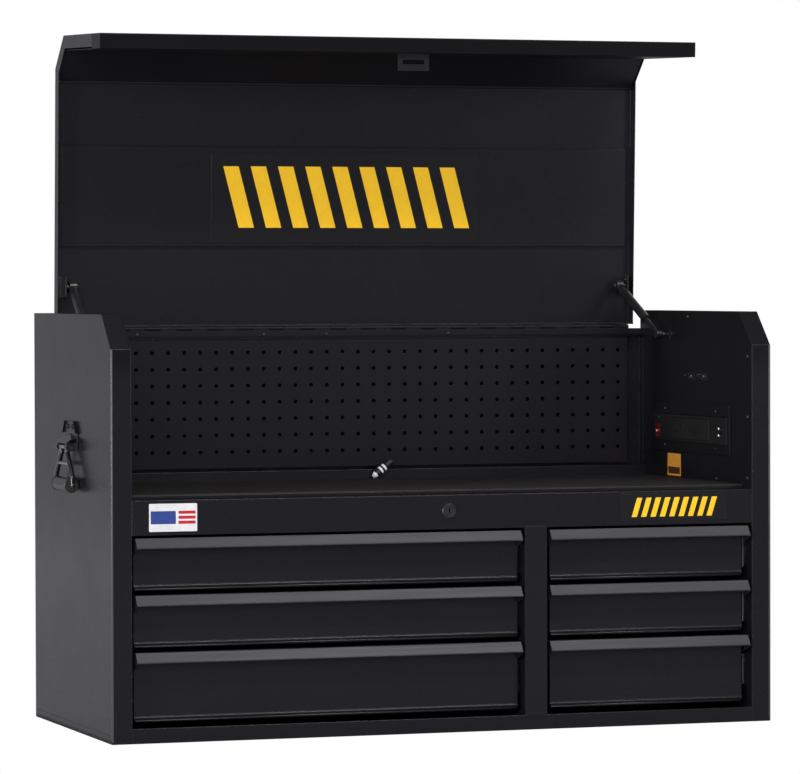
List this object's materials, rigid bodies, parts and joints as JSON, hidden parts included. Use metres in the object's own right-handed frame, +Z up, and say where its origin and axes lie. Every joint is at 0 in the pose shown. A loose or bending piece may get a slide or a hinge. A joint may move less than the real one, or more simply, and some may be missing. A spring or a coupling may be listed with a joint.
{
  "type": "tool chest",
  "caption": "Steel top chest with a rear-hinged lid on gas struts, pegboard till with mat and power strip, two banks of drawers on ball-bearing slides, a key lock and side bail handles.",
  "frame": {"origin": "middle of the cabinet's footprint, on the surface it stands on", "axes": "+X to the right seen from the front, +Y to the back, +Z up"},
  "size_m": [1.0868, 0.4951, 1.055],
  "materials": {
    "body": "gloss powder coat",
    "mat": "ribbed matt",
    "hinge": "satin",
    "zinc": "zinc plated",
    "lock_steel": "dark polished",
    "black_steel": "semi gloss",
    "strip_black": "fine grain",
    "strip_grey": "fine grain",
    "switch_red": "clear gloss",
    "rubber": "semi gloss",
    "bail": "gloss",
    "grip": "moulded",
    "striker": "satin",
    "strut_black": "satin",
    "strut_rod": "black nitride",
    "pull": "satin"
  },
  "bodies": {
    "cabinet": {"side_left": "body", "side_right": "body", "liner_left": "body", "liner_right": "body", "back_panel": "body", "base_pan": "body", "front_header": "body", "bottom_rail": "body", "center_divider": "body", "hinge_rail": "body", "pegboard": "body", "till_tray": "body", "till_mat": "mat", "hinge_leaf_fixed": "hinge", "hinge_pin": "zinc", "cabinet_slides": "zinc", "lock_housing": "lock_steel", "power_cover": "body", "power_case": "strip_black", "outlet_block": "strip_grey", "strut_studs": "black_steel", "handle_plates": "body", "fasteners": "black_steel", "cord_boot": "rubber", "cord_clips": "lock_steel"},
    "lock": {"lock_cylinder": "lock_steel"},
    "rocker": {"rocker_switch": "switch_red"},
    "handle_left": {"bail_left": "bail", "grip_left": "grip"},
    "handle_right": {"bail_right": "bail", "grip_right": "grip"},
    "lid": {"lid_shell": "body", "lid_front_channel": "body", "lid_stiffener": "body", "lid_hinge_leaf": "hinge", "lid_striker": "striker", "strut_brackets": "black_steel"},
    "strut_tube_left": {"strut_cylinder_left": "strut_black"},
    "strut_piston_left": {"strut_rod_left": "strut_rod"},
    "strut_tube_right": {"strut_cylinder_right": "strut_black"},
    "strut_piston_right": {"strut_rod_right": "strut_rod"},
    "drawer_1": {"drawer_1_box": "body", "drawer_1_pull": "pull"},
    "drawer_1_mid": {"drawer_1_mid_slides": "zinc"},
    "drawer_2": {"drawer_2_box": "body", "drawer_2_pull": "pull"},
    "drawer_2_mid": {"drawer_2_mid_slides": "zinc"},
    "drawer_3": {"drawer_3_box": "body", "drawer_3_pull": "pull"},
    "drawer_3_mid": {"drawer_3_mid_slides": "zinc"},
    "drawer_4": {"drawer_4_box": "body", "drawer_4_pull": "pull"},
    "drawer_4_mid": {"drawer_4_mid_slides": "zinc"},
    "drawer_5": {"drawer_5_box": "body", "drawer_5_pull": "pull"},
    "drawer_5_mid": {"drawer_5_mid_slides": "zinc"},
    "drawer_6": {"drawer_6_box": "body", "drawer_6_pull": "pull"},
    "drawer_6_mid": {"drawer_6_mid_slides": "zinc"}
  },
  "joints": [
    {"name": "lid_hinge", "type": "hinge", "parent": "cabinet", "child": "lid", "pos_m": [0, 0.232, 0.6006], "axis": [1, 0, 0], "range_deg": [0, 88]},
    {"name": "strut_swing_left", "type": "hinge", "parent": "lid", "child": "strut_tube_left", "pos_m": [-0.457, 0.23869, 0.66677], "axis": [1, 0, 0], "range_deg": [-115, 0]},
    {"name": "strut_slide_left", "type": "slide", "parent": "strut_tube_left", "child": "strut_piston_left", "axis": [0.0728, 0.8743, 0.4799], "range_m": [0, 0.0435]},
    {"name": "strut_swing_right", "type": "hinge", "parent": "lid", "child": "strut_tube_right", "pos_m": [0.457, 0.23869, 0.66677], "axis": [1, 0, 0], "range_deg": [-115, 0]},
    {"name": "strut_slide_right", "type": "slide", "parent": "strut_tube_right", "child": "strut_piston_right", "axis": [-0.0728, 0.8743, 0.4799], "range_m": [0, 0.0435]},
    {"name": "drawer_1_slide", "type": "slide", "parent": "cabinet", "child": "drawer_1", "axis": [0, -1, 0], "range_m": [0, 0.36]},
    {"name": "drawer_1_mid_slide", "type": "slide", "parent": "cabinet", "child": "drawer_1_mid", "axis": [0, -1, 0], "range_m": [0, 0.181]},
    {"name": "drawer_2_slide", "type": "slide", "parent": "cabinet", "child": "drawer_2", "axis": [0, -1, 0], "range_m": [0, 0.36]},
    {"name": "drawer_2_mid_slide", "type": "slide", "parent": "cabinet", "child": "drawer_2_mid", "axis": [0, -1, 0], "range_m": [0, 0.181]},
    {"name": "drawer_3_slide", "type": "slide", "parent": "cabinet", "child": "drawer_3", "axis": [0, -1, 0], "range_m": [0, 0.36]},
    {"name": "drawer_3_mid_slide", "type": "slide", "parent": "cabinet", "child": "drawer_3_mid", "axis": [0, -1, 0], "range_m": [0, 0.181]},
    {"name": "drawer_4_slide", "type": "slide", "parent": "cabinet", "child": "drawer_4", "axis": [0, -1, 0], "range_m": [0, 0.36]},
    {"name": "drawer_4_mid_slide", "type": "slide", "parent": "cabinet", "child": "drawer_4_mid", "axis": [0, -1, 0], "range_m": [0, 0.181]},
    {"name": "drawer_5_slide", "type": "slide", "parent": "cabinet", "child": "drawer_5", "axis": [0, -1, 0], "range_m": [0, 0.36]},
    {"name": "drawer_5_mid_slide", "type": "slide", "parent": "cabinet", "child": "drawer_5_mid", "axis": [0, -1, 0], "range_m": [0, 0.181]},
    {"name": "drawer_6_slide", "type": "slide", "parent": "cabinet", "child": "drawer_6", "axis": [0, -1, 0], "range_m": [0, 0.36]},
    {"name": "drawer_6_mid_slide", "type": "slide", "parent": "cabinet", "child": "drawer_6_mid", "axis": [0, -1, 0], "range_m": [0, 0.181]},
    {"name": "lock_turn", "type": "hinge", "parent": "cabinet", "child": "lock", "pos_m": [0, -0.2286, 0.3315], "axis": [0, -1, 0], "range_deg": [0, 70]},
    {"name": "rocker_tilt", "type": "hinge", "parent": "cabinet", "child": "rocker", "pos_m": [0.491, 0.138, 0.43615], "axis": [0, 1, 0], "range_deg": [0, 16]},
    {"name": "handle_swing_left", "type": "hinge", "parent": "cabinet", "child": "handle_left", "pos_m": [-0.5322, 0, 0.4275], "axis": [0, 1, 0], "range_deg": [0, 95]},
    {"name": "handle_swing_right", "type": "hinge", "parent": "cabinet", "child": "handle_right", "pos_m": [0.5322, 0, 0.4275], "axis": [0, -1, 0], "range_deg": [0, 95]}
  ],
  "couplings": [
    {"joint": "strut_swing_left", "follows": "lid_hinge", "ratio": -1.2928},
    {"joint": "strut_slide_left", "follows": "lid_hinge", "m_per_rad": 0.027997},
    {"joint": "strut_swing_right", "follows": "lid_hinge", "ratio": -1.2928},
    {"joint": "strut_slide_right", "follows": "lid_hinge", "m_per_rad": 0.027997},
    {"joint": "drawer_1_mid_slide", "follows": "drawer_1_slide", "ratio": 0.5},
    {"joint": "drawer_2_mid_slide", "follows": "drawer_2_slide", "ratio": 0.5},
    {"joint": "drawer_3_mid_slide", "follows": "drawer_3_slide", "ratio": 0.5},
    {"joint": "drawer_4_mid_slide", "follows": "drawer_4_slide", "ratio": 0.5},
    {"joint": "drawer_5_mid_slide", "follows": "drawer_5_slide", "ratio": 0.5},
    {"joint": "drawer_6_mid_slide", "follows": "drawer_6_slide", "ratio": 0.5}
  ]
}
